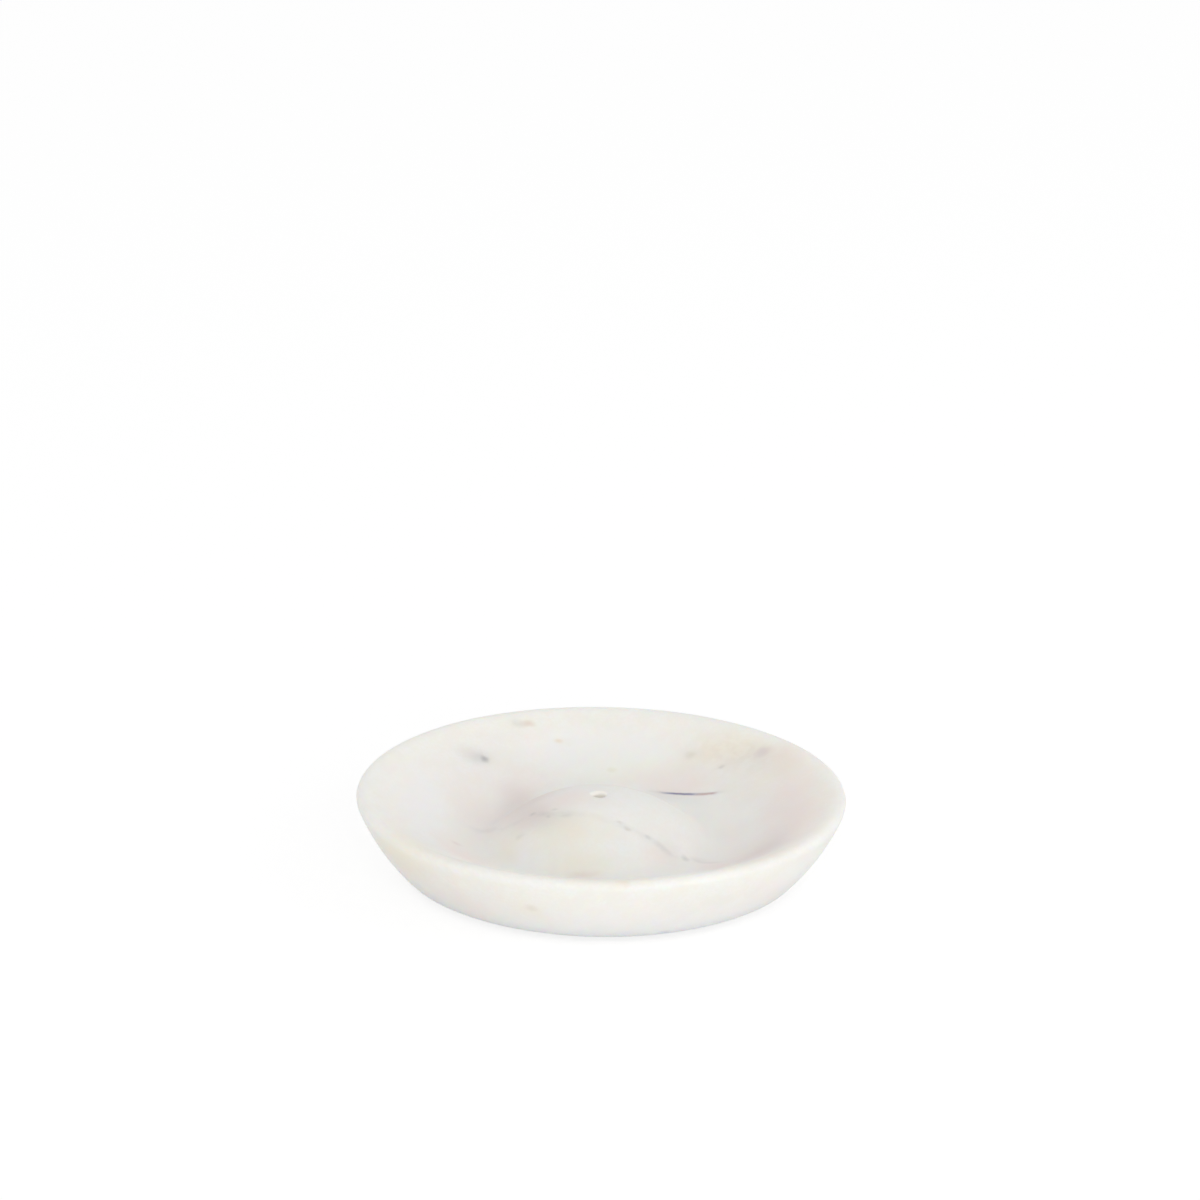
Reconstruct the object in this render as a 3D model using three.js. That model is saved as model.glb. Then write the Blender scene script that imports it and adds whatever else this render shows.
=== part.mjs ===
// Incense holder: a shallow dish turned from one block of marble. The bowl rises in a broad mound,
// drilled for one stick, and the dish stands on felt feet. Millimetres, +Z up, with the origin on
// the table top under the middle of the dish.

import * as THREE from 'three';

// Outer form of the stone
const RIM_DIAMETER = 120;
const DISH_HEIGHT = 18.8; // underside of the stone to the top of the rim
const LIP_OUTER_RADIUS = 1.5;
const LIP_INNER_RADIUS = 5.5;
const WALL_BOW_RADIUS = 50; // the flared outer wall bows out a little
const BASE_CORNER_RADIUS = 4;
const BASE_FLAT_DIAMETER = 94;

// Bowl and mound
const FLOOR_THICKNESS = 6; // stone under the deepest ring of the bowl
const BOWL_HOLLOW_RADIUS = 15; // where the bowl's sloping wall runs out into the deepest ring
const MOUND_DIAMETER = 50.5; // measured where the dome turns into the hollow round it
const MOUND_HOLLOW_WIDTH = 4.5; // from there out to the deepest ring
const MOUND_BELOW_RIM = 0.85;

// Blind hole for the stick, left by a twist drill
const STICK_HOLE_DIAMETER = 2.8;
const STICK_HOLE_EDGE_RADIUS = 0.8;
const STONE_UNDER_HOLE = 4.5;
const DRILL_POINT_DEGREES = 118;

// Self-adhesive felt feet under the base
const FOOT_COUNT = 4;
const FOOT_DIAMETER = 12;
const FOOT_THICKNESS = 1;
const FOOT_FROM_BASE_EDGE = 5; // rim of a foot to the edge of the flat underside
const FIRST_FOOT_DEGREES = 45;

// Facets of the round surfaces
const FACET_DEPTH = 0.05; // how far a facet may lie inside its arc
const DISH_SIDES = 80;
const FOOT_SIDES = 32;

const QUARTER = Math.PI / 2;
const marble = new THREE.MeshStandardMaterial({ color: 0xefeee8, roughness: 0.45, metalness: 0 });
const felt = new THREE.MeshStandardMaterial({ color: 0xb8b2a6, roughness: 1, metalness: 0 });

// A section is a list of points: x is the distance from the axis, y the height.
function arc(centre, radius, from, to) {
  const widestStep = 2 * Math.acos(Math.max(0, 1 - FACET_DEPTH / radius));
  const steps = Math.max(2, Math.ceil(Math.abs(to - from) / widestStep));
  const points = [];
  for (let i = 0; i <= steps; i += 1) {
    const angle = from + ((to - from) * i) / steps;
    points.push(new THREE.Vector2(radius * Math.cos(angle), radius * Math.sin(angle)).add(centre));
  }
  return points;
}

// Stretches that touch share their end points, so each later one leaves its first point out.
function joined(...stretches) {
  return stretches.reduce((section, next) => section.concat(next.slice(1)));
}

// A turned solid, from a section that starts and ends on the axis, stood upright
function turned(section, sides) {
  return new THREE.LatheGeometry(section, sides).rotateX(QUARTER);
}

// Flat underside, rounded corner, bowed wall and the outer half of the lip.
// The wall is one large arc that touches the corner's arc and the lip's arc from outside.
function outerSection() {
  const corner = new THREE.Vector2(BASE_FLAT_DIAMETER / 2, BASE_CORNER_RADIUS);
  const lip = new THREE.Vector2(RIM_DIAMETER / 2 - LIP_OUTER_RADIUS, DISH_HEIGHT - LIP_OUTER_RADIUS);
  const toLip = WALL_BOW_RADIUS - LIP_OUTER_RADIUS;
  const toCorner = WALL_BOW_RADIUS - BASE_CORNER_RADIUS;
  const between = corner.clone().sub(lip);
  const span = between.length();
  const along = (toLip ** 2 - toCorner ** 2 + span ** 2) / (2 * span);
  const aside = Math.sqrt(toLip ** 2 - along ** 2);
  const down = between.divideScalar(span);
  const inwards = new THREE.Vector2(down.y, -down.x);
  const wall = lip.clone().addScaledVector(down, along).addScaledVector(inwards, aside);
  const wallFoot = corner.clone().sub(wall);
  const wallTop = lip.clone().sub(wall);
  const footAngle = Math.atan2(wallFoot.y, wallFoot.x);
  const topAngle = Math.atan2(wallTop.y, wallTop.x);
  return joined(
    [new THREE.Vector2(0, 0), new THREE.Vector2(BASE_FLAT_DIAMETER / 2, 0)],
    arc(corner, BASE_CORNER_RADIUS, -QUARTER, footAngle),
    arc(wall, WALL_BOW_RADIUS, footAngle, topAngle),
    arc(lip, LIP_OUTER_RADIUS, topAngle, 0),
    arc(lip, LIP_OUTER_RADIUS, 0, QUARTER),
  );
}

// Inner half of the lip, then the hollow at the foot of the bowl's wall. The wall itself is
// the straight stretch between the two arcs, which it touches from opposite sides.
function bowlSection(deepestRing) {
  const lip = new THREE.Vector2(RIM_DIAMETER / 2 - LIP_OUTER_RADIUS, DISH_HEIGHT - LIP_INNER_RADIUS);
  const hollow = new THREE.Vector2(deepestRing, FLOOR_THICKNESS + BOWL_HOLLOW_RADIUS);
  const between = lip.clone().sub(hollow);
  const bothRadii = LIP_INNER_RADIUS + BOWL_HOLLOW_RADIUS;
  const aside = Math.acos(bothRadii / between.length());
  const wallFacing = Math.atan2(between.y, between.x) + Math.PI - aside;
  return [
    ...arc(lip, LIP_INNER_RADIUS, QUARTER, wallFacing),
    ...arc(hollow, BOWL_HOLLOW_RADIUS, wallFacing - Math.PI, -QUARTER),
  ];
}

// Hollow foot and domed top of the mound, two arcs that meet at the mound's diameter,
// then the eased edge of the stick hole, its wall and the cone that the drill point leaves.
function moundSection(deepestRing) {
  const top = DISH_HEIGHT - MOUND_BELOW_RIM;
  const height = top - FLOOR_THICKNESS;
  const bothRadii = (deepestRing ** 2 + height ** 2) / (2 * height);
  const slope = Math.atan2(deepestRing, bothRadii - height);
  const hollowRadius = MOUND_HOLLOW_WIDTH / Math.sin(slope);
  const domeRadius = bothRadii - hollowRadius;
  const hollow = new THREE.Vector2(deepestRing, FLOOR_THICKNESS + hollowRadius);
  const dome = new THREE.Vector2(0, top - domeRadius);

  const holeRadius = STICK_HOLE_DIAMETER / 2;
  const edgeReach = holeRadius + STICK_HOLE_EDGE_RADIUS;
  const edgeRise = Math.sqrt((domeRadius - STICK_HOLE_EDGE_RADIUS) ** 2 - edgeReach ** 2);
  const edge = new THREE.Vector2(edgeReach, dome.y + edgeRise);
  const edgeAngle = Math.atan2(edgeRise, edgeReach);
  const coneDepth = holeRadius / Math.tan(THREE.MathUtils.degToRad(DRILL_POINT_DEGREES / 2));
  return joined(
    arc(hollow, hollowRadius, -QUARTER, -QUARTER - slope),
    arc(dome, domeRadius, QUARTER - slope, edgeAngle),
    arc(edge, STICK_HOLE_EDGE_RADIUS, edgeAngle, Math.PI),
    [
      new THREE.Vector2(holeRadius, edge.y),
      new THREE.Vector2(holeRadius, STONE_UNDER_HOLE + coneDepth),
      new THREE.Vector2(0, STONE_UNDER_HOLE),
    ],
  );
}

function marbleDish() {
  const deepestRing = MOUND_DIAMETER / 2 + MOUND_HOLLOW_WIDTH;
  const section = joined(outerSection(), bowlSection(deepestRing), moundSection(deepestRing));
  const dish = new THREE.Mesh(turned(section, DISH_SIDES), marble);
  dish.name = 'marble_dish';
  dish.position.z = FOOT_THICKNESS;
  return dish;
}

function feltFoot(number) {
  const section = [
    new THREE.Vector2(0, 0),
    new THREE.Vector2(FOOT_DIAMETER / 2, 0),
    new THREE.Vector2(FOOT_DIAMETER / 2, FOOT_THICKNESS),
    new THREE.Vector2(0, FOOT_THICKNESS),
  ];
  const foot = new THREE.Mesh(turned(section, FOOT_SIDES), felt.clone());
  const turn = THREE.MathUtils.degToRad(FIRST_FOOT_DEGREES + (360 * (number - 1)) / FOOT_COUNT);
  const reach = (BASE_FLAT_DIAMETER - FOOT_DIAMETER) / 2 - FOOT_FROM_BASE_EDGE;
  foot.name = `felt_foot_${number}`;
  foot.position.set(reach * Math.cos(turn), reach * Math.sin(turn), 0);
  return foot;
}

const incenseHolder = new THREE.Group();
incenseHolder.add(marbleDish());
for (let number = 1; number <= FOOT_COUNT; number += 1) {
  incenseHolder.add(feltFoot(number));
}

export default incenseHolder;
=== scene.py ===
import math

import bpy
from mathutils import Matrix, Vector


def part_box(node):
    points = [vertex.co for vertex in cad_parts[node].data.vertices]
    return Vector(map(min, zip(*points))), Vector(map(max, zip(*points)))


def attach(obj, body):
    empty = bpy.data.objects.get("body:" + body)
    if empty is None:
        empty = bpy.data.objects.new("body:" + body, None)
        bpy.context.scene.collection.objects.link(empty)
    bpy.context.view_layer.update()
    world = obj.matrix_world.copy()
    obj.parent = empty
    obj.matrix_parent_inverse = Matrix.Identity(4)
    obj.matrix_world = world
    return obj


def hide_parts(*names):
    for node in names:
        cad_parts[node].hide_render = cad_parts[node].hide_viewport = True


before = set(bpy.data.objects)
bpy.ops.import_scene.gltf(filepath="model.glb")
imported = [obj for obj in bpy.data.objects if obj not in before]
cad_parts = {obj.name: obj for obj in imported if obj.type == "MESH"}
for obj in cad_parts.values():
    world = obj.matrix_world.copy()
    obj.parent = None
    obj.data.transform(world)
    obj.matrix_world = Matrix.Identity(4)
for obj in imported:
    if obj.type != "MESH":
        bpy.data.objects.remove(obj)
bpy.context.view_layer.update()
bpy.ops.object.select_all(action="DESELECT")


# Camera: a long lens a little over a metre from the dish and 21 degrees above the table.
# It circles the middle of the rim, then tips up so that the dish stands low in the picture.
MM = 0.001
CAMERA_LENS = 150
CAMERA_SEES_TO = 20
CAMERA_DISTANCE = 1225.45 * MM
CAMERA_ELEVATION = math.radians(21.2462)
CAMERA_TIP_UP = math.radians(2.1727)
CAMERA_TURN_LEFT = math.radians(0.0454)
CAMERA_ROLL = math.radians(0.8011)

rim_middle = Vector((0, 0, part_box("marble_dish")[1].z))
camera_back = Vector((0, -math.cos(CAMERA_ELEVATION), math.sin(CAMERA_ELEVATION)))
aim = Matrix.Rotation(math.pi / 2 - CAMERA_ELEVATION + CAMERA_TIP_UP, 4, "X")
aim = aim @ Matrix.Rotation(CAMERA_TURN_LEFT, 4, "Y") @ Matrix.Rotation(CAMERA_ROLL, 4, "Z")
bpy.ops.object.camera_add()
camera = bpy.context.object
camera.name = "camera"
camera.data.lens = CAMERA_LENS
camera.data.clip_end = CAMERA_SEES_TO
camera.matrix_world = Matrix.Translation(rim_middle + CAMERA_DISTANCE * camera_back) @ aim
bpy.context.scene.camera = camera
bpy.context.scene.view_settings.view_transform = "Standard"


# Marble dish: one block of white marble, turned on a lathe inside and out and honed, not polished.
# The bowl's floor rises in a mound, drilled from above for the stick. The mound was finished by
# hand, so it stands a little off the middle and no surface is quite true.
LIP_OUTER_RADIUS = 1.5 * MM
LIP_INNER_RADIUS = 5.5 * MM
WALL_BOW_RADIUS = 50 * MM
BASE_CORNER_RADIUS = 4 * MM
BASE_FLAT_RADIUS = 47 * MM
FLOOR_THICKNESS = 6 * MM
BOWL_HOLLOW_RADIUS = 15 * MM
MOUND_RADIUS = 25.25 * MM
MOUND_HOLLOW_WIDTH = 4.5 * MM
MOUND_BELOW_RIM = 0.85 * MM
MOUND_OFF_MIDDLE = (-0.5 * MM, -0.75 * MM, 0)
MOUND_BLEND_REACH = 14 * MM
HOLE_RADIUS = 1.4 * MM
HOLE_EDGE_RADIUS = 0.8 * MM
STONE_UNDER_HOLE = 4.5 * MM
DRILL_POINT = math.radians(118)
POINT_SPACING = 1.1 * MM
LEAST_ARC_STEPS = 4
LEAST_STRAIGHT_STEPS = 2
TURN_STEPS = 288
SHORTEST_STEP = 0.0001 * MM
MERGE_DISTANCE = 0.004 * MM
SMOOTH_ANGLE = math.radians(40)
UNEVEN_DEPTH = 0.14 * MM
UNEVEN_LENGTH = 22 * MM
UNEVEN_ABOVE_BASE = 1 * MM

dish_low, dish_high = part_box("marble_dish")
rim_radius = dish_high.x
rim_top = dish_high.z
stone_base = dish_low.z
QUARTER = math.pi / 2


def arc(centre, radius, first, last):
    """Points along an arc of the half section, as distance from the axis and height."""
    steps = max(LEAST_ARC_STEPS, math.ceil(abs(last - first) * radius / POINT_SPACING))
    turns = [first + (last - first) * step / steps for step in range(steps + 1)]
    return [(centre[0] + radius * math.cos(t), centre[1] + radius * math.sin(t)) for t in turns]


def straight(start, end):
    """Points along a straight stretch of the half section."""
    steps = max(LEAST_STRAIGHT_STEPS, math.ceil(math.dist(start, end) / POINT_SPACING))
    shares = [step / steps for step in range(steps + 1)]
    return [tuple(a + (b - a) * share for a, b in zip(start, end)) for share in shares]


def outside_of_dish():
    """Flat underside, rounded corner, bowed wall and outer half of the lip."""
    corner = Vector((BASE_FLAT_RADIUS, stone_base + BASE_CORNER_RADIUS))
    lip = Vector((rim_radius - LIP_OUTER_RADIUS, rim_top - LIP_OUTER_RADIUS))
    to_lip = WALL_BOW_RADIUS - LIP_OUTER_RADIUS
    to_corner = WALL_BOW_RADIUS - BASE_CORNER_RADIUS
    between = corner - lip
    span = between.length
    along = (to_lip**2 - to_corner**2 + span**2) / (2 * span)
    aside = math.sqrt(to_lip**2 - along**2)
    down = between / span
    wall = lip + down * along + Vector((down.y, -down.x)) * aside
    foot_angle = math.atan2(corner.y - wall.y, corner.x - wall.x)
    top_angle = math.atan2(lip.y - wall.y, lip.x - wall.x)
    return (
        straight((0, stone_base), (BASE_FLAT_RADIUS, stone_base))
        + arc(corner, BASE_CORNER_RADIUS, -QUARTER, foot_angle)
        + arc(wall, WALL_BOW_RADIUS, foot_angle, top_angle)
        + arc(lip, LIP_OUTER_RADIUS, top_angle, QUARTER)
    )


def bowl_of_dish(deepest_ring):
    """Inner half of the lip, the straight wall, and the hollow at its foot."""
    lip = Vector((rim_radius - LIP_OUTER_RADIUS, rim_top - LIP_INNER_RADIUS))
    hollow = Vector((deepest_ring, stone_base + FLOOR_THICKNESS + BOWL_HOLLOW_RADIUS))
    between = lip - hollow
    aside = math.acos((LIP_INNER_RADIUS + BOWL_HOLLOW_RADIUS) / between.length)
    wall_facing = math.atan2(between.y, between.x) + math.pi - aside
    lip_arc = arc(lip, LIP_INNER_RADIUS, QUARTER, wall_facing)
    hollow_arc = arc(hollow, BOWL_HOLLOW_RADIUS, wall_facing - math.pi, -QUARTER)
    return lip_arc + straight(lip_arc[-1], hollow_arc[0]) + hollow_arc


def mound_of_dish(deepest_ring):
    """Hollow foot and dome of the mound, then the stick hole's edge, wall and drilled point."""
    top = rim_top - MOUND_BELOW_RIM
    floor_height = stone_base + FLOOR_THICKNESS
    height = top - floor_height
    both_radii = (deepest_ring**2 + height**2) / (2 * height)
    slope = math.atan2(deepest_ring, both_radii - height)
    hollow_radius = MOUND_HOLLOW_WIDTH / math.sin(slope)
    dome_radius = both_radii - hollow_radius
    edge_reach = HOLE_RADIUS + HOLE_EDGE_RADIUS
    edge_rise = math.sqrt((dome_radius - HOLE_EDGE_RADIUS) ** 2 - edge_reach**2)
    edge_height = top - dome_radius + edge_rise
    edge_angle = math.atan2(edge_rise, edge_reach)
    hole_floor = stone_base + STONE_UNDER_HOLE
    cone_top = hole_floor + HOLE_RADIUS / math.tan(DRILL_POINT / 2)
    return (
        arc((deepest_ring, floor_height + hollow_radius), hollow_radius, -QUARTER, -QUARTER - slope)
        + arc((0, top - dome_radius), dome_radius, QUARTER - slope, edge_angle)
        + arc((edge_reach, edge_height), HOLE_EDGE_RADIUS, edge_angle, math.pi)
        + straight((HOLE_RADIUS, edge_height), (HOLE_RADIUS, cone_top))
        + straight((HOLE_RADIUS, cone_top), (0, hole_floor))
    )


deepest_ring = MOUND_RADIUS + MOUND_HOLLOW_WIDTH
half_section = outside_of_dish() + bowl_of_dish(deepest_ring) + mound_of_dish(deepest_ring)

bpy.ops.mesh.primitive_plane_add(size=rim_radius)
dish = bpy.context.object
dish.name = "turned_marble_dish"
bpy.ops.object.mode_set(mode="EDIT")
bpy.ops.mesh.merge(type="CENTER")
bpy.ops.transform.translate(value=(half_section[0][0], 0, half_section[0][1]))
for here, there in zip(half_section, half_section[1:]):
    step = (there[0] - here[0], 0, there[1] - here[1])
    if math.hypot(*step) > SHORTEST_STEP:
        bpy.ops.mesh.extrude_vertices_move(TRANSFORM_OT_translate={"value": step})
bpy.ops.mesh.select_all(action="SELECT")
bpy.ops.mesh.spin(steps=TURN_STEPS, angle=2 * math.pi, center=(0, 0, 0), axis=(0, 0, 1))
bpy.ops.mesh.select_all(action="SELECT")
bpy.ops.mesh.remove_doubles(threshold=MERGE_DISTANCE)
bpy.ops.mesh.normals_make_consistent(inside=False)
bpy.ops.mesh.select_all(action="DESELECT")
bpy.ops.object.mode_set(mode="OBJECT")

# The mound moves aside as one with its hole, and the hollow round it gives way.
for vertex in dish.data.vertices:
    over_underside = vertex.co.z > stone_base + STONE_UNDER_HOLE / 2
    vertex.select = over_underside and vertex.co.xy.length < MOUND_RADIUS
bpy.ops.object.mode_set(mode="EDIT")
bpy.ops.transform.translate(
    value=MOUND_OFF_MIDDLE,
    use_proportional_edit=True,
    use_proportional_connected=True,
    proportional_edit_falloff="SMOOTH",
    proportional_size=MOUND_BLEND_REACH,
)
bpy.ops.object.mode_set(mode="OBJECT")

# Hand honing leaves shallow waves everywhere but on the ground underside.
honed_by_hand = dish.vertex_groups.new(name="honed_by_hand")
honed = [v.index for v in dish.data.vertices if v.co.z > stone_base + UNEVEN_ABOVE_BASE]
honed_by_hand.add(honed, 1, "REPLACE")
waves = bpy.data.textures.new("honing_waves", "CLOUDS")
waves.noise_scale = UNEVEN_LENGTH
waves.noise_depth = 1
honing = dish.modifiers.new("honing", "DISPLACE")
honing.texture = waves
honing.texture_coords = "LOCAL"
honing.vertex_group = honed_by_hand.name
honing.mid_level = 1
honing.strength = UNEVEN_DEPTH
bpy.ops.object.modifier_apply(modifier=honing.name)
bpy.ops.object.shade_smooth_by_angle(angle=SMOOTH_ANGLE)

# Colours of the stone, from its white ground to the minerals in its veins
WHITE_STONE = (0.905, 0.902, 0.875, 1)
DULL_STONE = (0.88, 0.868, 0.815, 1)
CLEAR_STONE_AND_PAINTED_LIGHT = (0.97, 0.965, 0.94, 1)
DRILLED_STONE_AND_PAINTED_LIGHT = (0.98, 0.95, 0.88, 1)
CREAM = (0.985, 0.955, 0.86, 1)
BLUSH = (0.98, 0.88, 0.79, 1)
ROSE = (0.9, 0.785, 0.745, 1)
MAUVE = (0.81, 0.72, 0.69, 1)
OLIVE = (0.9, 0.845, 0.72, 1)
OCHRE = (0.72, 0.57, 0.36, 1)
BROWN = (0.42, 0.34, 0.27, 1)
RUST = (0.62, 0.42, 0.34, 1)
GREY = (0.42, 0.42, 0.43, 1)
SLATE = (0.16, 0.16, 0.18, 1)
NAVY = (0.05, 0.03, 0.26, 1)
WINE = (0.36, 0.05, 0.06, 1)

marble = bpy.data.materials.new("honed_marble")
marble.use_nodes = True
marble_nodes = marble.node_tree.nodes
marble_links = marble.node_tree.links
stone = marble_nodes["Principled BSDF"]


def marble_node(kind, inputs, **settings):
    """Adds a node to the marble. An input is a plain value or the output of another node."""
    added = marble_nodes.new(kind)
    for setting, value in settings.items():
        setattr(added, setting, value)
    for socket, value in inputs.items():
        if isinstance(value, bpy.types.NodeSocket):
            marble_links.new(value, added.inputs[socket])
        else:
            added.inputs[socket].default_value = value
    return added


in_block = marble_node("ShaderNodeTexCoord", {}).outputs["Object"]


def crystals(size, detail=2):
    """Noise from 0 to 1 whose patches are about this many millimetres wide."""
    inputs = {"Vector": in_block, "Scale": 1 / (size * MM), "Detail": detail}
    return marble_node("ShaderNodeTexNoise", inputs)


def drift(size, amount):
    """Places in the block, pushed about so that what is drawn there gets a ragged outline."""
    push = crystals(size).outputs["Color"]
    centred = marble_node("ShaderNodeVectorMath", {0: push, 1: (0.5, 0.5, 0.5)}, operation="SUBTRACT")
    inputs = {0: centred.outputs[0], 1: (amount * MM,) * 3, 2: in_block}
    return marble_node("ShaderNodeVectorMath", inputs, operation="MULTIPLY_ADD").outputs[0]


def calculated(operation, first, second):
    """One sum on two numbers."""
    return marble_node("ShaderNodeMath", {0: first, 1: second}, operation=operation).outputs[0]


def ramp(value, start, end, low=0, high=1):
    """Eases from one level to another as a value runs from start to end."""
    inputs = {"Value": value, "From Min": start, "From Max": end, "To Min": low, "To Max": high}
    return marble_node("ShaderNodeMapRange", inputs, interpolation_type="SMOOTHSTEP").outputs[0]


def turned_to(place, heading, reach, drifting):
    """Places seen from the middle of a mark, along its heading, in shares of its reach."""
    inputs = {
        "Vector": drifting,
        "Location": [length * MM for length in place],
        "Rotation": (0, 0, math.radians(heading)),
        "Scale": [length * MM for length in reach],
    }
    return marble_node("ShaderNodeMapping", inputs, vector_type="TEXTURE").outputs[0]


def smudge(place, reach, heading=0, drifting=None):
    """A soft patch in the block, full in its middle and gone at its reach, in millimetres."""
    seen = turned_to(place, heading, reach, drifting or broad_drift)
    ball = marble_node("ShaderNodeTexGradient", {"Vector": seen}, gradient_type="SPHERICAL")
    return ramp(ball.outputs["Fac"], 0, 1)


def speck(place, reach, heading=0):
    """A small mark with a ragged outline."""
    return smudge(place, reach, heading, fine_drift)


def patchy(where, size, least):
    """Thins a mark out unevenly, down to the least share."""
    thinned = ramp(crystals(size).outputs["Fac"], 0.35, 0.62, least, 1)
    return calculated("MULTIPLY", where, thinned)


def sheet_frame(place, heading, drifting):
    """Distance along a vein's sheet, distance from it and height, in metres."""
    seen = turned_to(place, heading, (1000, 1000, 1000), drifting)
    return marble_node("ShaderNodeSeparateXYZ", {"Vector": seen}).outputs


def sheet(along, across, half_length, fade, half_width):
    """A thin vein: full on its sheet, gone at its half width and faded out towards its ends."""
    on_sheet = ramp(calculated("ABSOLUTE", across, 0), 0, half_width * MM, 1, 0)
    reach = ramp(calculated("ABSOLUTE", along, 0), (half_length - fade) * MM, half_length * MM, 1, 0)
    return calculated("MULTIPLY", on_sheet, reach)


def tinted(under, tint, strength, where):
    """Stains the stone with another colour where a mark is."""
    share = calculated("MULTIPLY", where, strength)
    return marble_node("ShaderNodeMix", {0: share, 6: under, 7: tint}, data_type="RGBA").outputs[2]


def marked(under, marks):
    """Stains the stone with marks in turn, each a colour, its strength, its kind, place and reach."""
    for tint, strength, kind, *where in marks:
        under = tinted(under, tint, strength, kind(*where))
    return under


broad_drift = drift(24, 9)
fine_drift = drift(2.5, 1.3)
vein_drift = drift(7, 1.6)
thread_drift = drift(4, 0.6)

# Sugary ground of fine crystals, some duller than others
fine_grain = crystals(0.9, 3).outputs["Fac"]
coarse_grain = crystals(5, 3).outputs["Fac"]
colour = tinted(WHITE_STONE, DULL_STONE, 0.5, ramp(fine_grain, 0.35, 0.65))
colour = tinted(colour, DULL_STONE, 0.6, ramp(coarse_grain, 0.4, 0.65))

# Clearer stone in the far wall, the left wall and the right of the floor, creamy in the far wall and
# with a blush on either side of the floor. The paler stone over the foot of the block is painted
# light that lifts the foot of the outer wall out of its shade
colour = marked(colour, [
    (CLEAR_STONE_AND_PAINTED_LIGHT, 1, smudge, (0, 0, 0), (160, 160, 14), 0, in_block),
    (CLEAR_STONE_AND_PAINTED_LIGHT, 0.95, smudge, (0, 45, 14), (32, 12, 11)),
    (CLEAR_STONE_AND_PAINTED_LIGHT, 0.7, smudge, (-45, 3, 14), (15, 36, 12)),
    (CLEAR_STONE_AND_PAINTED_LIGHT, 0.8, smudge, (30, 6, 8), (11, 20, 8)),
    (CREAM, 0.85, smudge, (4, 42, 12), (24, 13, 10)),
    (BLUSH, 0.6, smudge, (28, 7, 8), (14, 22, 9)),
    (BLUSH, 0.5, smudge, (-32, -18, 9), (16, 26, 10)),
])

# Broad clouds: rose and mauve round the bowl, olive at the back, on the mound's front and outside.
# The mauve on the mound's left side, on the floor behind it and in the right wall is partly the
# stone's tint and partly painted shade
colour = marked(colour, [
    (ROSE, 0.65, smudge, (47, 0, 16), (14, 42, 14)),
    (ROSE, 0.55, smudge, (-30, 14, 9), (14, 24, 10)),
    (ROSE, 0.55, smudge, (-34, -14, 10), (11, 18, 9)),
    (ROSE, 0.35, smudge, (-18, 33, 10), (18, 10, 9)),
    (ROSE, 0.42, smudge, (13, 37, 10), (22, 7, 8)),
    (ROSE, 0.4, smudge, (34, 0, 9), (9, 18, 8)),
    (ROSE, 0.8, smudge, (29, -18, 9), (9, 9, 7)),
    (ROSE, 0.45, smudge, (32, -11, 9), (13, 12, 8)),
    (ROSE, 0.45, smudge, (16, -20, 10), (9, 8, 6)),
    (ROSE, 0.65, smudge, (-8, -1, 17), (14, 10, 7)),
    (ROSE, 0.4, smudge, (13, 12, 13), (7, 8, 6)),
    (ROSE, 0.6, smudge, (22, 31, 9), (15, 8, 6), -20),
    (ROSE, 0.35, smudge, (-30, -44, 7), (14, 10, 6)),
    (MAUVE, 0.95, smudge, (-20, 6, 11), (10, 22, 13)),
    (MAUVE, 0.75, smudge, (-16, -6, 14), (10, 9, 7)),
    (MAUVE, 0.5, smudge, (-15, 9, 13), (12, 13, 9)),
    (MAUVE, 0.95, smudge, (40, -23, 13), (14, 27, 13)),
    (MAUVE, 0.6, smudge, (-21, 22, 8), (8, 13, 6)),
    (MAUVE, 0.5, smudge, (-20, 27, 8), (10, 9, 6)),
    (OLIVE, 0.7, smudge, (-8, -14, 13), (15, 10, 10)),
    (OLIVE, 0.6, smudge, (-5, -23, 9), (14, 6, 6)),
    (OLIVE, 0.4, smudge, (-25, -14, 9), (9, 9, 6)),
    (OLIVE, 0.6, smudge, (31, 38, 15), (20, 11, 10)),
    (OLIVE, 0.3, smudge, (44, 28, 17), (10, 13, 9)),
    (OLIVE, 0.35, smudge, (36, 23, 12), (9, 10, 8)),
    (MAUVE, 0.4, smudge, (45, 30, 17), (9, 11, 8)),
    (OLIVE, 0.65, smudge, (-51, -38, 15), (19, 19, 14)),
    (OLIVE, 0.5, smudge, (-18, -54, 9), (10, 6, 7)),
])

# The near lip is painted a little browner and darker than the rest, painted shade that tones down the
# light on it, and the wall below it is painted paler, a cooler white that is partly painted light
colour = marked(colour, [
    (BROWN, 0.17, speck, (0, -58, 20), (40, 7, 2.4)),
    (BROWN, 0.15, speck, (-37, -45, 20), (32, 7, 2.4), -39),
    (BROWN, 0.15, speck, (37, -45, 20), (32, 7, 2.4), 39),
    (CLEAR_STONE_AND_PAINTED_LIGHT, 0.45, smudge, (0, -58, 9), (50, 9, 10), 0, vein_drift),
    (CLEAR_STONE_AND_PAINTED_LIGHT, 1, smudge, (49, -32, 9), (32, 8, 11), 57, vein_drift),
])

# Painted shade, grey and a little ochre, on the mound's left side and behind it, on the floor and in
# the right wall
colour = marked(colour, [
    (GREY, 0.12, smudge, (-12, -11, 14), (11, 7, 7)),
    (GREY, 0.08, smudge, (-19, 7, 11), (14, 27, 12)),
    (GREY, 0.07, smudge, (-15, -7, 14), (13, 12, 9)),
    (OCHRE, 0.16, smudge, (0, 13, 14), (28, 8, 8)),
    (GREY, 0.04, smudge, (42, -25, 14), (12, 18, 9)),
    (OCHRE, 0.06, smudge, (-31, 1, 8), (13, 14, 8)),
    (GREY, 0.1, smudge, (37, 33, 16), (9, 8, 7)),
    (GREY, 0.07, smudge, (10, 28, 8), (14, 7, 6)),
])

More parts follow.
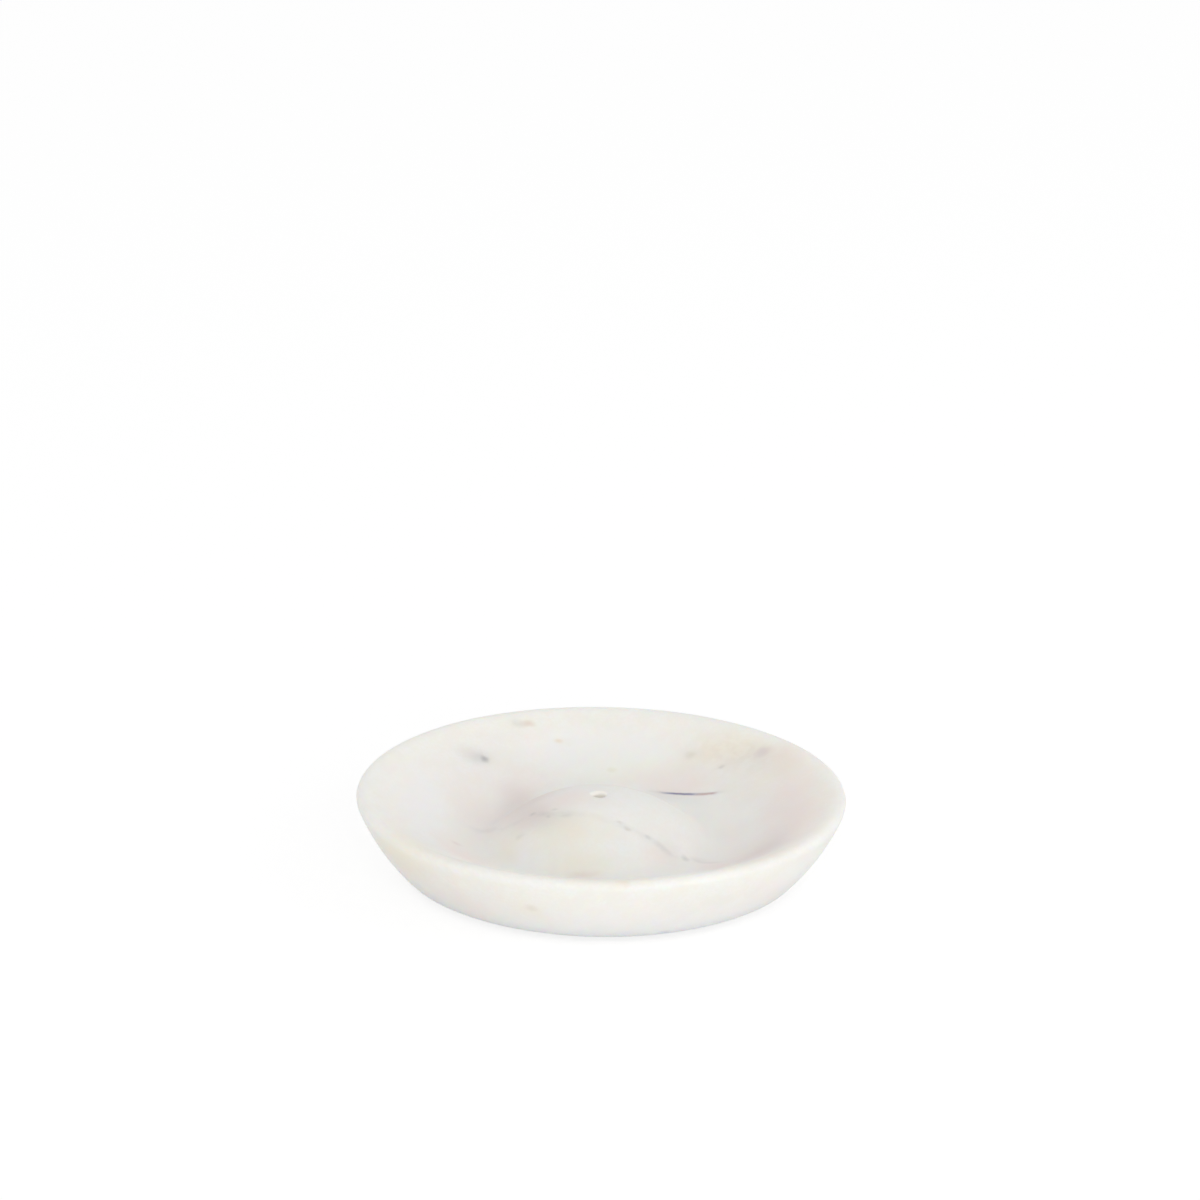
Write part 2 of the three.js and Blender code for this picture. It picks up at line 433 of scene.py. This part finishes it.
# Grey vein across the block: it runs over the mound's front and bends back under the floor
VEIN_HEADING = -19.5
grey_along, grey_across, grey_height = sheet_frame((-3, -10.8, 0), VEIN_HEADING, vein_drift)
grey_bend = ramp(grey_height, 6.5 * MM, 10.5 * MM, 7 * MM, 0)
grey_off = calculated("SUBTRACT", grey_across, grey_bend)
grey_vein = sheet(grey_along, grey_off, 33, 9, 1.6)
colour = tinted(colour, GREY, 0.11, patchy(grey_vein, 6, 0.1))
colour = marked(colour, [
    (GREY, 0.16, speck, (-29, 3.5, 7.8), (6.5, 2.2, 2), -32),
    (GREY, 0.35, speck, (-16.5, -4.5, 14.6), (1.7, 1.2, 1.5), VEIN_HEADING),
    (GREY, 0.16, speck, (-14, -6.2, 15.5), (3.6, 1.6, 2), VEIN_HEADING),
    (GREY, 0.22, speck, (-12.8, -8.3, 15.6), (1.3, 0.9, 1), VEIN_HEADING),
    (GREY, 0.22, speck, (-11.3, -5.9, 16.6), (1.4, 0.9, 1), VEIN_HEADING),
    (GREY, 0.16, speck, (-8.5, -10, 16.5), (2.4, 1, 1.4), VEIN_HEADING),
    (BROWN, 0.16, speck, (4.3, -12.9, 16.3), (1.4, 0.8, 1), VEIN_HEADING),
    (BROWN, 0.24, speck, (6.4, -14.5, 15.3), (1.6, 0.9, 1.2), VEIN_HEADING),
    (GREY, 0.28, speck, (11.4, -15.4, 13.5), (1.6, 1, 1.3), VEIN_HEADING),
    (GREY, 0.2, speck, (15, -16.5, 11.4), (5.5, 1.4, 3.2), VEIN_HEADING),
    (GREY, 0.08, smudge, (16, -16.5, 10.5), (9, 5, 5), VEIN_HEADING, vein_drift),
    (SLATE, 0.22, speck, (20.5, -15.6, 8.4), (2, 1.3, 1.4)),
    (GREY, 0.15, speck, (25.5, -14.8, 7.2), (7, 1.1, 1.6)),
])

# Dark thin vein on the floor behind the mound: navy, then wine red, with a grey thread through both
dark_along, dark_across = sheet_frame((21.5, 28, 8), VEIN_HEADING, thread_drift)[:2]
navy_along = calculated("ADD", dark_along, 1.7 * MM)
wine_along = calculated("SUBTRACT", dark_along, 5.2 * MM)
grey_thread = sheet(dark_along, dark_across, 12, 7, 0.9)
colour = tinted(colour, GREY, 0.28, grey_thread)
navy_thread = sheet(navy_along, dark_across, 6.5, 5, 0.6)
colour = tinted(colour, NAVY, 0.72, patchy(navy_thread, 3, 0.7))
wine_thread = sheet(wine_along, dark_across, 3.4, 2.6, 0.6)
colour = tinted(colour, WINE, 0.58, patchy(wine_thread, 3, 0.7))
# A soft grey halo along the dark vein, widened into painted shade on the floor behind the mound
vein_halo_and_painted_shade = smudge((18, 26.5, 8), (14, 6, 5), VEIN_HEADING, vein_drift)
colour = tinted(colour, GREY, 0.12, vein_halo_and_painted_shade)

# Spots and specks round the far wall, from left to right
colour = marked(colour, [
    (SLATE, 0.45, speck, (-29.3, 35.5, 14), (1.8, 1.8, 1.6)),
    (GREY, 0.2, speck, (-30, 35.5, 14.2), (4, 3.4, 3)),
    (GREY, 0.18, smudge, (-32.5, 35.5, 14.8), (8, 5, 5), 0, vein_drift),
    (RUST, 0.3, speck, (-18.8, 50.4, 18), (2.8, 1.8, 1.8)),
    (GREY, 0.16, speck, (-21.5, 49.8, 18.2), (3.4, 2, 2)),
    (OCHRE, 0.35, speck, (-11, 46.5, 15), (1.8, 1.2, 1.4)),
    (OCHRE, 0.07, speck, (-9.4, 46.4, 15), (5, 2.6, 2.6)),
    (OCHRE, 0.2, speck, (2.5, 39, 10), (1.8, 1.3, 1.3)),
    (MAUVE, 0.6, speck, (40.3, 34, 17.5), (4.5, 3, 3)),
    (NAVY, 0.08, speck, (40.3, 34, 17.5), (3.4, 2.4, 2.4)),
])

# Brown mottling of the olive cloud at the far right, with the specks in it
olive_cloud = smudge((33, 36.5, 15), (18, 10, 8), -30)
colour = tinted(colour, BROWN, 0.07, patchy(olive_cloud, 2.5, 0))
colour = marked(colour, [
    (BROWN, 0.18, speck, (22.5, 40.5, 14), (2.4, 2, 2)),
    (BROWN, 0.1, speck, (30, 34, 13.4), (3.5, 1.6, 1.6)),
    (SLATE, 0.2, speck, (30, 33.8, 13.4), (1.4, 1, 1)),
])

# Specks nearer the front: on the floor, the lip, the outer wall and the mound's left
colour = marked(colour, [
    (RUST, 0.18, speck, (-4, -26.5, 8), (7, 2, 2)),
    (OCHRE, 0.25, speck, (5.5, -59, 19.5), (3, 2, 2)),
    (BROWN, 0.14, speck, (-16, -54, 10.5), (2.4, 2.2, 2)),
    (NAVY, 0.3, speck, (16.5, -48, 2.2), (3.5, 1.5, 0.8)),
    (MAUVE, 0.6, speck, (-35, -8, 8.5), (2.5, 2, 2)),
    (GREY, 0.15, speck, (-19.5, -11, 11.5), (2, 1.5, 1.5)),
])

# The outside of the back, and the ground underside
colour = marked(colour, [
    (ROSE, 0.4, smudge, (6, 55, 7), (18, 5, 6)),
    (OLIVE, 0.6, smudge, (38, 39, 7), (12, 8, 6), -45),
    (OLIVE, 0.5, smudge, (-16, 16, 1), (22, 13, 4), VEIN_HEADING),
    (ROSE, 0.5, smudge, (18, -20, 1), (18, 12, 4), VEIN_HEADING),
])
back_vein = smudge((-26, 48, 7.5), (16, 6, 1.2), 28, vein_drift)
colour = tinted(colour, GREY, 0.3, patchy(back_vein, 4, 0.2))
underside_vein = smudge((6, 4, 1), (46, 1.6, 3), VEIN_HEADING, vein_drift)
colour = tinted(colour, GREY, 0.3, patchy(underside_vein, 5, 0.2))
colour = marked(colour, [
    (SLATE, 0.35, speck, (-44, 32, 6), (2.2, 2.2, 1.8)),
    (BROWN, 0.2, speck, (22, 51, 9), (2.6, 2, 1.4)),
    (RUST, 0.2, speck, (52, 18, 7), (2, 3, 1.6)),
])

# The drilled wall of the stick hole was never honed: it is pale, powdery and a little warm, and its
# paleness is partly painted light in the hole's shade, with a touch of painted shade in brown on its
# right. The bruised crystals of its edge let less light into the stone
HOLE_MOUTH = (-0.7, -0.1, 18)
drilled_and_painted_light = ramp(smudge(HOLE_MOUTH, (2.6, 2.3, 17), 0, in_block), 0, 0.16)
bruised = ramp(smudge(HOLE_MOUTH, (2.8, 2.6, 1.5), 0, in_block), 0, 0.1)
colour = tinted(colour, DRILLED_STONE_AND_PAINTED_LIGHT, 1, drilled_and_painted_light)
colour = marked(colour, [
    (BROWN, 0.05, speck, (1.1, -0.3, 17.6), (0.9, 1.2, 1.2)),
    (ROSE, 0.45, speck, (-0.3, -3, 18), (3.4, 1.4, 2)),
])

# Honed skin: matt, but not equally so all over, with the last scratches of the grit in it
SCRATCH_STRENGTH = 0.12
SCRATCH_DEPTH = 0.03 * MM
DULL_ROUGHNESS = 0.68
RUBBED_ROUGHNESS = 0.56
SKIN_REFLECTION = 0.4
LIGHT_REACH = 5 * MM
LIGHT_REACH_BY_COLOUR = (1.0, 0.75, 0.55)
LIGHT_SHARE = 1
BRUISED_LIGHT_SHARE = 0.1

scratches = {"Height": fine_grain, "Strength": SCRATCH_STRENGTH, "Distance": SCRATCH_DEPTH}
stone_skin = marble_node("ShaderNodeBump", scratches)
marble_links.new(stone_skin.outputs["Normal"], stone.inputs["Normal"])
stone_roughness = ramp(coarse_grain, 0.3, 0.7, DULL_ROUGHNESS, RUBBED_ROUGHNESS)
marble_links.new(stone_roughness, stone.inputs["Roughness"])
marble_links.new(colour, stone.inputs["Base Color"])
stone.inputs["Specular IOR Level"].default_value = SKIN_REFLECTION
let_in = ramp(bruised, 0, 1, LIGHT_SHARE, BRUISED_LIGHT_SHARE)
marble_links.new(let_in, stone.inputs["Subsurface Weight"])
stone.inputs["Subsurface Radius"].default_value = LIGHT_REACH_BY_COLOUR
stone.inputs["Subsurface Scale"].default_value = LIGHT_REACH
dish.data.materials.append(marble)
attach(dish, "root")
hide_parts("marble_dish")


# Felt feet: four discs cut from pressed wool felt and stuck to the ground underside, where they
# keep the stone off the table top. The cut edge is a little furry and softer than the faces.
FOOT_NODES = ["felt_foot_1", "felt_foot_2", "felt_foot_3", "felt_foot_4"]
FOOT_SIDES = 120
FOOT_RINGS = 14
FOOT_EDGE_RADIUS = 0.2 * MM
FOOT_EDGE_STEPS = 3
FUR_DEPTH = 0.1 * MM
FUR_LENGTH = 0.45 * MM
FIBRE_WIDTH = 0.35 * MM
FIBRE_RELIEF = 0.1 * MM
FIBRE_CURL = 2.5
FELT_GREY = (0.44, 0.42, 0.38, 1)
FELT_PALE = (0.62, 0.59, 0.54, 1)

foot_low, foot_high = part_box(FOOT_NODES[0])
foot_radius = (foot_high.x - foot_low.x) / 2
foot_thickness = foot_high.z - foot_low.z
bpy.ops.object.select_all(action="DESELECT")
bpy.ops.mesh.primitive_cylinder_add(
    vertices=FOOT_SIDES,
    radius=foot_radius,
    depth=foot_thickness,
    location=(0, 0, foot_thickness / 2),
)
first_foot = bpy.context.object
bpy.ops.object.transform_apply(location=True)
bpy.ops.object.mode_set(mode="EDIT")
bpy.ops.mesh.select_mode(type="EDGE")
bpy.ops.mesh.select_all(action="DESELECT")
bpy.ops.object.mode_set(mode="OBJECT")
for edge in first_foot.data.edges:
    heights = [first_foot.data.vertices[index].co.z for index in edge.vertices]
    edge.select = abs(heights[0] - heights[1]) < foot_thickness / 2
bpy.ops.object.mode_set(mode="EDIT")
bpy.ops.mesh.bevel(offset=FOOT_EDGE_RADIUS, segments=FOOT_EDGE_STEPS, affect="EDGES")
bpy.ops.mesh.select_mode(type="FACE")
bpy.ops.mesh.select_all(action="DESELECT")
bpy.ops.object.mode_set(mode="OBJECT")
for face in first_foot.data.polygons:
    face.select = len(face.vertices) == FOOT_SIDES
bpy.ops.object.mode_set(mode="EDIT")
for ring in range(FOOT_RINGS):
    bpy.ops.mesh.inset(thickness=foot_radius / (FOOT_RINGS + 1))
bpy.ops.object.mode_set(mode="OBJECT")
fur = bpy.data.textures.new("felt_fur", "CLOUDS")
fur.noise_scale = FUR_LENGTH
fur.noise_depth = 2
furring = first_foot.modifiers.new("furring", "DISPLACE")
furring.texture = fur
furring.texture_coords = "LOCAL"
furring.mid_level = 1
furring.strength = FUR_DEPTH
bpy.ops.object.modifier_apply(modifier=furring.name)
bpy.ops.object.shade_smooth()

felt = bpy.data.materials.new("pressed_felt")
felt.use_nodes = True
felt_nodes = felt.node_tree.nodes
felt_links = felt.node_tree.links
wool = felt_nodes["Principled BSDF"]
wool.inputs["Roughness"].default_value = 1
wool.inputs["Sheen Weight"].default_value = 0.3
felt_place = felt_nodes.new("ShaderNodeTexCoord")
felt_fibres = felt_nodes.new("ShaderNodeTexNoise")
felt_fibres.inputs["Scale"].default_value = 1 / FIBRE_WIDTH
felt_fibres.inputs["Detail"].default_value = 4
felt_fibres.inputs["Distortion"].default_value = FIBRE_CURL
felt_links.new(felt_place.outputs["Object"], felt_fibres.inputs["Vector"])
felt_colour = felt_nodes.new("ShaderNodeValToRGB")
felt_colour.color_ramp.elements[0].position = 0.35
felt_colour.color_ramp.elements[0].color = FELT_GREY
felt_colour.color_ramp.elements[1].position = 0.65
felt_colour.color_ramp.elements[1].color = FELT_PALE
felt_links.new(felt_fibres.outputs["Fac"], felt_colour.inputs["Fac"])
felt_links.new(felt_colour.outputs["Color"], wool.inputs["Base Color"])
felt_bump = felt_nodes.new("ShaderNodeBump")
felt_bump.inputs["Strength"].default_value = 0.6
felt_bump.inputs["Distance"].default_value = FIBRE_RELIEF
felt_links.new(felt_fibres.outputs["Fac"], felt_bump.inputs["Height"])
felt_links.new(felt_bump.outputs["Normal"], wool.inputs["Normal"])
first_foot.data.materials.append(felt)

for node_name in FOOT_NODES:
    low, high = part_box(node_name)
    middle = (low + high) / 2
    bpy.ops.object.select_all(action="DESELECT")
    first_foot.select_set(True)
    bpy.context.view_layer.objects.active = first_foot
    bpy.ops.object.duplicate()
    foot = bpy.context.object
    foot.name = node_name.replace("foot", "disc")
    bpy.ops.transform.translate(value=(middle.x, middle.y, low.z))
    bpy.ops.object.transform_apply(location=True)
    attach(foot, "root")
    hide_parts(node_name)
bpy.data.objects.remove(first_foot)


# Floor: the white paper sweep that the dish stands on. The camera sees it nearly lit from within,
# so it stays white and the dish's soft shadow shows only faintly.
FLOOR_SIZE = 8
FLOOR_COLOUR = (0.96, 0.96, 0.96, 1)
WHITE = (1, 1, 1, 1)
CAMERA_GLOW_SHARE = 0.7
CAMERA_GLOW_STRENGTH = 1.1

bpy.ops.mesh.primitive_plane_add(size=FLOOR_SIZE)
sweep = bpy.context.object
sweep.name = "paper_sweep"
paper = bpy.data.materials.new("white_paper")
paper.use_nodes = True
paper_nodes = paper.node_tree.nodes
paper_links = paper.node_tree.links
paper_nodes.clear()
paper_surface = paper_nodes.new("ShaderNodeBsdfDiffuse")
paper_surface.inputs["Color"].default_value = FLOOR_COLOUR
paper_glow = paper_nodes.new("ShaderNodeEmission")
paper_glow.inputs["Color"].default_value = WHITE
paper_glow.inputs["Strength"].default_value = CAMERA_GLOW_STRENGTH
paper_ray = paper_nodes.new("ShaderNodeLightPath")
paper_seen = paper_nodes.new("ShaderNodeMath")
paper_seen.operation = "MAXIMUM"
paper_share = paper_nodes.new("ShaderNodeMath")
paper_share.operation = "MULTIPLY"
paper_share.inputs[1].default_value = CAMERA_GLOW_SHARE
paper_mix = paper_nodes.new("ShaderNodeMixShader")
paper_output = paper_nodes.new("ShaderNodeOutputMaterial")
paper_links.new(paper_ray.outputs["Is Camera Ray"], paper_seen.inputs[0])
paper_links.new(paper_ray.outputs["Is Glossy Ray"], paper_seen.inputs[1])
paper_links.new(paper_seen.outputs[0], paper_share.inputs[0])
paper_links.new(paper_share.outputs[0], paper_mix.inputs["Fac"])
paper_links.new(paper_surface.outputs[0], paper_mix.inputs[1])
paper_links.new(paper_glow.outputs[0], paper_mix.inputs[2])
paper_links.new(paper_mix.outputs[0], paper_output.inputs["Surface"])
sweep.data.materials.append(paper)


# Studio light: white walls all round, a low soft lamp in front and a weaker, higher one on each
# side, so that the left side of the mound and the right side of the bowl fall into soft shade.
WALL_LIGHT = 0.735
LAMP_DISTANCE = 1.3
LAMP_WIDTH = 0.8
LAMPS = {
    "front_left_lamp": {"azimuth": 225, "elevation": 25, "watts": 0.8},
    "front_lamp": {"azimuth": 285, "elevation": 10, "watts": 3.9},
    "right_lamp": {"azimuth": 345, "elevation": 30, "watts": 1.75},
}

world = bpy.data.worlds.new("white_studio")
bpy.context.scene.world = world
world.use_nodes = True
world_nodes = world.node_tree.nodes
world_links = world.node_tree.links
world_ray = world_nodes.new("ShaderNodeLightPath")
world_seen = world_nodes.new("ShaderNodeMath")
world_seen.operation = "MAXIMUM"
world_level = world_nodes.new("ShaderNodeMapRange")
world_level.inputs["To Min"].default_value = WALL_LIGHT
world_links.new(world_ray.outputs["Is Camera Ray"], world_seen.inputs[0])
world_links.new(world_ray.outputs["Is Glossy Ray"], world_seen.inputs[1])
world_links.new(world_seen.outputs[0], world_level.inputs["Value"])
world_links.new(world_level.outputs[0], world_nodes["Background"].inputs["Strength"])
world_nodes["Background"].inputs["Color"].default_value = WHITE

for lamp_name, lamp_place in LAMPS.items():
    azimuth = math.radians(lamp_place["azimuth"])
    elevation = math.radians(lamp_place["elevation"])
    outwards = Vector((math.cos(azimuth), math.sin(azimuth), 0)) * math.cos(elevation)
    outwards.z = math.sin(elevation)
    bpy.ops.object.light_add(type="AREA", location=outwards * LAMP_DISTANCE)
    lamp = bpy.context.object
    lamp.name = lamp_name
    lamp.rotation_euler = outwards.to_track_quat("Z", "Y").to_euler()
    lamp.data.shape = "DISK"
    lamp.data.size = LAMP_WIDTH
    lamp.data.energy = lamp_place["watts"]
    lamp.visible_camera = False
